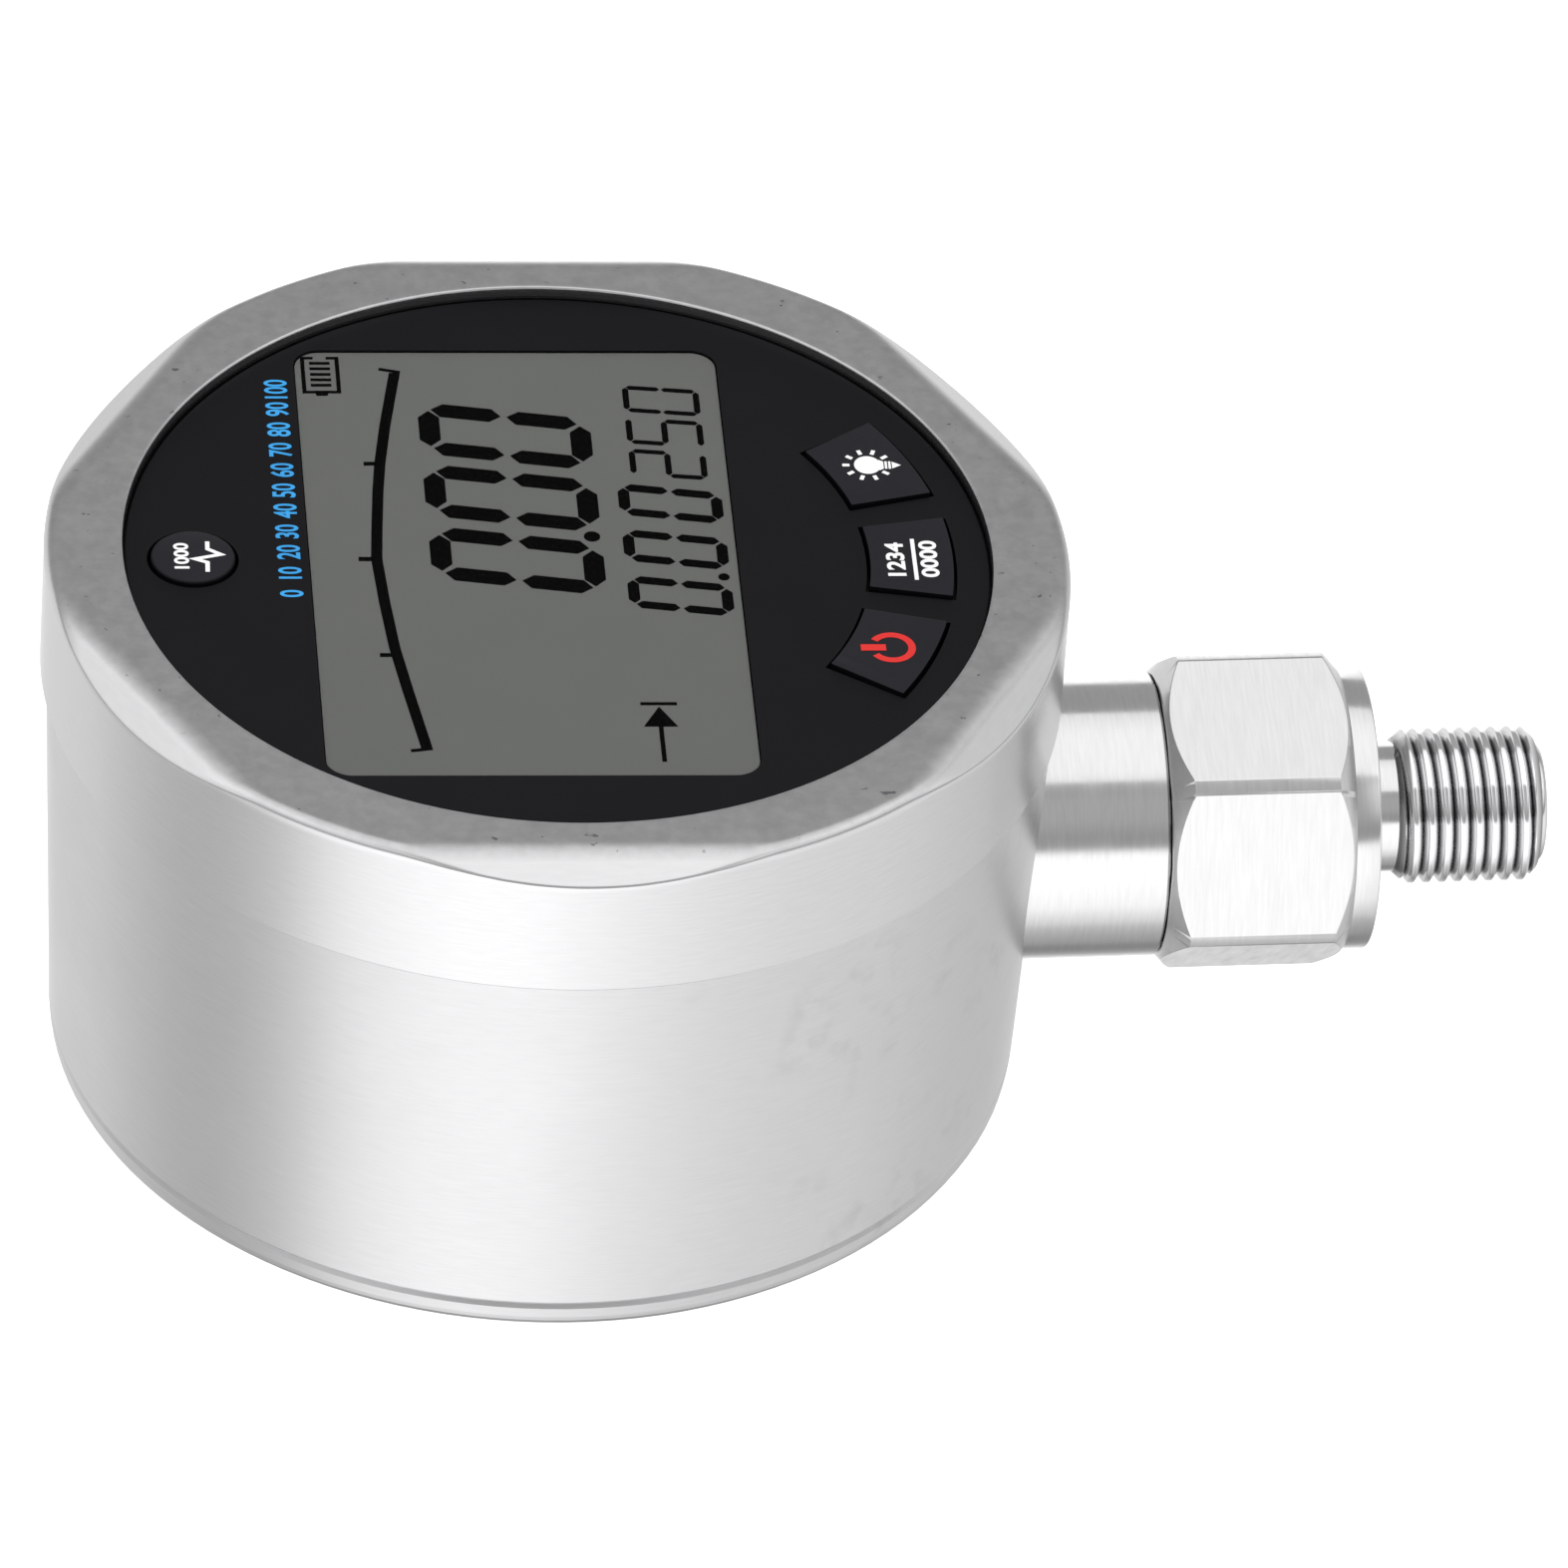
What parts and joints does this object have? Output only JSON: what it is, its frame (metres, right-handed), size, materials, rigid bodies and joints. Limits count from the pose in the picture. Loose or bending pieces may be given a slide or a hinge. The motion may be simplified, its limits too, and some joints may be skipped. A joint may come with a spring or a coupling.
{
  "type": "digital pressure gauge",
  "caption": "Round steel digital pressure gauge with a hexagonal screwed bezel, LCD, sprung keys and a side stem that ends in a hexagon and threaded stud.",
  "frame": {"origin": "centre of the flat rear face, on the axis of the round case", "axes": "+Z along the case axis out of the display, +X along the stem towards the threaded end, +Y completes a right-handed frame"},
  "size_m": [0.1272, 0.085, 0.05],
  "materials": {
    "satin_steel": "satin, fine brushing",
    "bright_steel": "turned, satin",
    "black_plastic": "matte moulded",
    "key_plastic": "matte moulded",
    "lens": "clear, flat",
    "lcd": "polarised glass sheets",
    "light_guide": "milky acrylic",
    "white_plastic": "matte moulded",
    "connector_rubber": "striped silicone",
    "board": "green solder mask",
    "chip": "moulded epoxy",
    "switch_plastic": "moulded",
    "holder_plastic": "moulded",
    "nickel": "nickel plated",
    "cell": "plain wrap",
    "dark_rubber": "moulded rubber",
    "cable": "jacket"
  },
  "bodies": {
    "gauge_body": {"rear_case": "satin_steel", "case_o_ring": "dark_rubber", "bezel_ring": "bright_steel", "bezel_gasket": "dark_rubber", "front_panel": "black_plastic", "display_lens": "lens", "lcd_glass": "lcd", "lcd_backlight": "light_guide", "lcd_carrier": "white_plastic", "lcd_strip_connectors": "connector_rubber", "backlight_leds": "white_plastic", "main_board": "board", "processor_chip": "chip", "converter_chip": "chip", "clock_crystal": "nickel", "switch_light": "switch_plastic", "switch_unit": "switch_plastic", "switch_power": "switch_plastic", "switch_peak": "switch_plastic", "panel_screws": "nickel", "battery_holder": "holder_plastic", "holder_screws": "nickel", "battery_1": "cell", "battery_2": "cell", "battery_3": "cell", "battery_springs": "nickel", "battery_contacts": "nickel", "battery_cover": "holder_plastic", "cover_screws": "nickel", "neck_sleeve": "bright_steel", "neck_gasket": "dark_rubber", "pressure_fitting": "satin_steel", "sensor_capsule": "nickel", "sensor_o_ring": "dark_rubber", "sensor_retainer": "nickel", "board_socket": "white_plastic", "sensor_plug": "white_plastic", "sensor_cable": "cable"},
    "light_key": {"key_light": "key_plastic", "plunger_light": "switch_plastic"},
    "unit_key": {"key_unit": "key_plastic", "plunger_unit": "switch_plastic"},
    "power_key": {"key_power": "key_plastic", "plunger_power": "switch_plastic"},
    "peak_key": {"key_peak": "key_plastic", "plunger_peak": "switch_plastic"}
  },
  "joints": [
    {"name": "press_light", "type": "slide", "parent": "gauge_body", "child": "light_key", "axis": [0, 0, -1], "range_m": [0, 0.0005], "stiffness_N_per_m": 1500},
    {"name": "press_unit", "type": "slide", "parent": "gauge_body", "child": "unit_key", "axis": [0, 0, -1], "range_m": [0, 0.0005], "stiffness_N_per_m": 1500},
    {"name": "press_power", "type": "slide", "parent": "gauge_body", "child": "power_key", "axis": [0, 0, -1], "range_m": [0, 0.0005], "stiffness_N_per_m": 1500},
    {"name": "press_peak", "type": "slide", "parent": "gauge_body", "child": "peak_key", "axis": [0, 0, -1], "range_m": [0, 0.0005], "stiffness_N_per_m": 1500}
  ]
}
